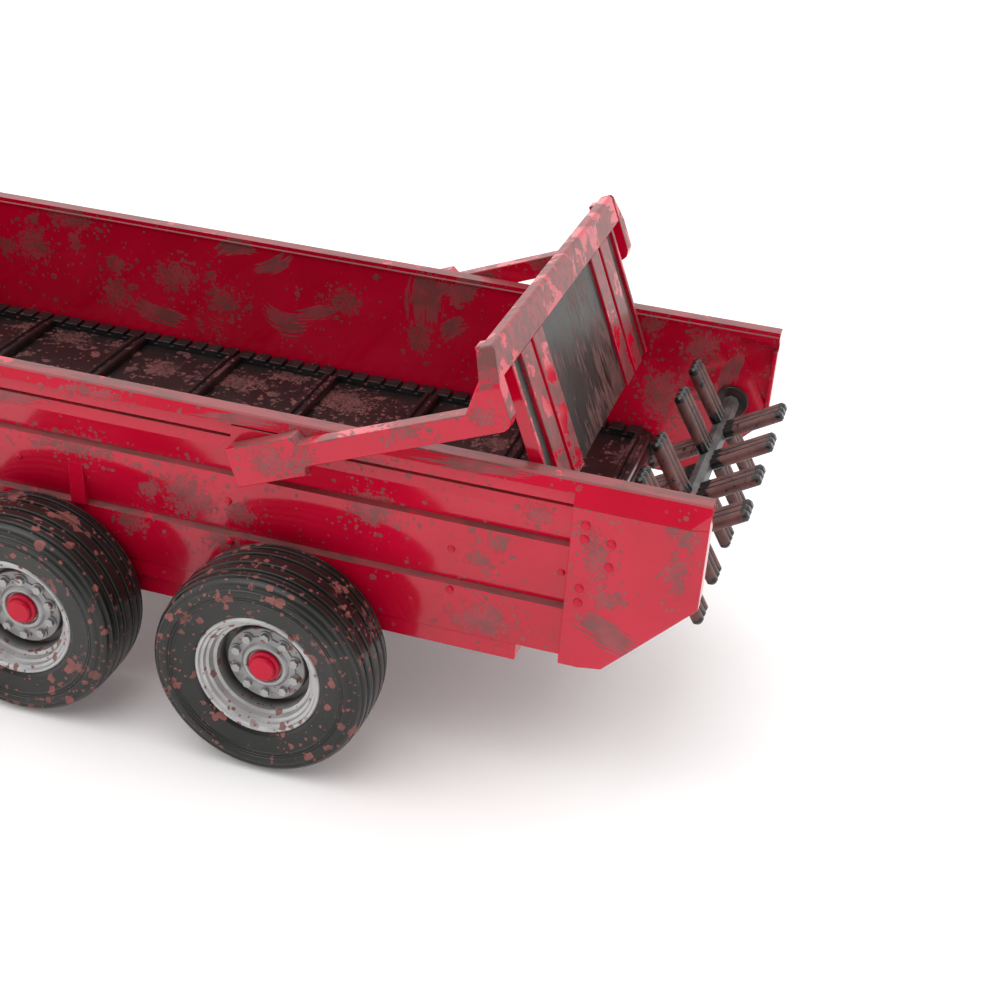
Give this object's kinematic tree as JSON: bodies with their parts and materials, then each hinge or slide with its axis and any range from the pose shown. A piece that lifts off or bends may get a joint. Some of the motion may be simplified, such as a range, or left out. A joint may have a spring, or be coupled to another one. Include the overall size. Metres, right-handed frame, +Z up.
{
  "type": "manure spreader trailer",
  "caption": "Toy-scale tandem-axle box manure spreader with a swinging rear gate, slatted floor, turning paddle beater, rolling wheels and a folding drawbar jack.",
  "frame": {"origin": "on the ground under the middle of the whole model's length and width", "axes": "+X forward along the drawbar, +Y to the left side, +Z up"},
  "size_m": [0.4756, 0.185, 0.1429],
  "materials": {
    "red_plastic": "gloss with dried mud",
    "black_plastic": "satin with mud specks",
    "grey_plastic": "satin with brushed mud",
    "brown_plastic": "satin, mud brown",
    "tyre": "satin",
    "wheel_metal": "silver",
    "axle_metal": "plain"
  },
  "bodies": {
    "chassis": {"apron_chain_left": "black_plastic", "apron_chain_right": "black_plastic", "apron_slat_1": "black_plastic", "apron_slat_2": "black_plastic", "apron_slat_3": "black_plastic", "apron_slat_4": "black_plastic", "apron_slat_5": "black_plastic", "apron_slat_6": "black_plastic", "apron_slat_7": "black_plastic", "apron_slat_8": "black_plastic", "axle_front": "axle_metal", "axle_rear": "axle_metal", "beater_bearings": "black_plastic", "bogie_beam_left": "red_plastic", "bogie_beam_right": "red_plastic", "cross_members": "red_plastic", "drawbar_beam_left": "red_plastic", "drawbar_beam_right": "red_plastic", "drawbar_tongue": "red_plastic", "end_plate_left": "red_plastic", "end_plate_right": "red_plastic", "floor_pan": "black_plastic", "front_panel": "red_plastic", "gate_bracket_left": "red_plastic", "gate_bracket_right": "red_plastic", "gate_pins": "red_plastic", "hitch_eye": "red_plastic", "jack_bracket": "red_plastic", "rivets": "red_plastic", "side_posts": "red_plastic", "side_wall_left": "red_plastic", "side_wall_right": "red_plastic", "subframe_rail_left": "red_plastic", "subframe_rail_right": "red_plastic"},
    "wheel_rear_left": {"tyre_rear_left": "tyre", "wheel_rim_rear_left": "wheel_metal", "hub_cap_rear_left": "red_plastic"},
    "wheel_rear_right": {"tyre_rear_right": "tyre", "wheel_rim_rear_right": "wheel_metal", "hub_cap_rear_right": "red_plastic"},
    "wheel_front_left": {"tyre_front_left": "tyre", "wheel_rim_front_left": "wheel_metal", "hub_cap_front_left": "red_plastic"},
    "wheel_front_right": {"tyre_front_right": "tyre", "wheel_rim_front_right": "wheel_metal", "hub_cap_front_right": "red_plastic"},
    "gate": {"gate_arm_left": "red_plastic", "gate_arm_right": "red_plastic", "gate_crossbeam": "red_plastic", "gate_edges": "red_plastic", "gate_panel": "grey_plastic", "gate_post_left": "red_plastic", "gate_post_right": "red_plastic", "gate_side_panels": "grey_plastic"},
    "beater": {"beater_shaft": "grey_plastic", "beater_paddles_a": "brown_plastic", "beater_paddles_b": "brown_plastic", "beater_paddles_c": "brown_plastic", "beater_paddles_d": "brown_plastic"},
    "jack": {"jack_leg": "red_plastic"}
  },
  "joints": [
    {"name": "wheel_rear_left_spin", "type": "hinge", "parent": "chassis", "child": "wheel_rear_left", "pos_m": [-0.1072, 0.0797, 0.034], "axis": [0, 1, 0], "continuous": true},
    {"name": "wheel_rear_right_spin", "type": "hinge", "parent": "chassis", "child": "wheel_rear_right", "pos_m": [-0.1072, -0.0797, 0.034], "axis": [0, 1, 0], "continuous": true},
    {"name": "wheel_front_left_spin", "type": "hinge", "parent": "chassis", "child": "wheel_front_left", "pos_m": [-0.0261, 0.0797, 0.034], "axis": [0, 1, 0], "continuous": true},
    {"name": "wheel_front_right_spin", "type": "hinge", "parent": "chassis", "child": "wheel_front_right", "pos_m": [-0.0261, -0.0797, 0.034], "axis": [0, 1, 0], "continuous": true},
    {"name": "gate_lift", "type": "hinge", "parent": "chassis", "child": "gate", "pos_m": [-0.1022, 0, 0.097], "axis": [0, 1, 0], "range_deg": [-19, 38]},
    {"name": "beater_spin", "type": "hinge", "parent": "chassis", "child": "beater", "pos_m": [-0.2172, 0, 0.0795], "axis": [0, 1, 0], "continuous": true},
    {"name": "jack_fold", "type": "hinge", "parent": "chassis", "child": "jack", "pos_m": [0.1768, 0.0092, 0.0376], "axis": [0, 1, 0], "range_deg": [-90, 0]}
  ]
}
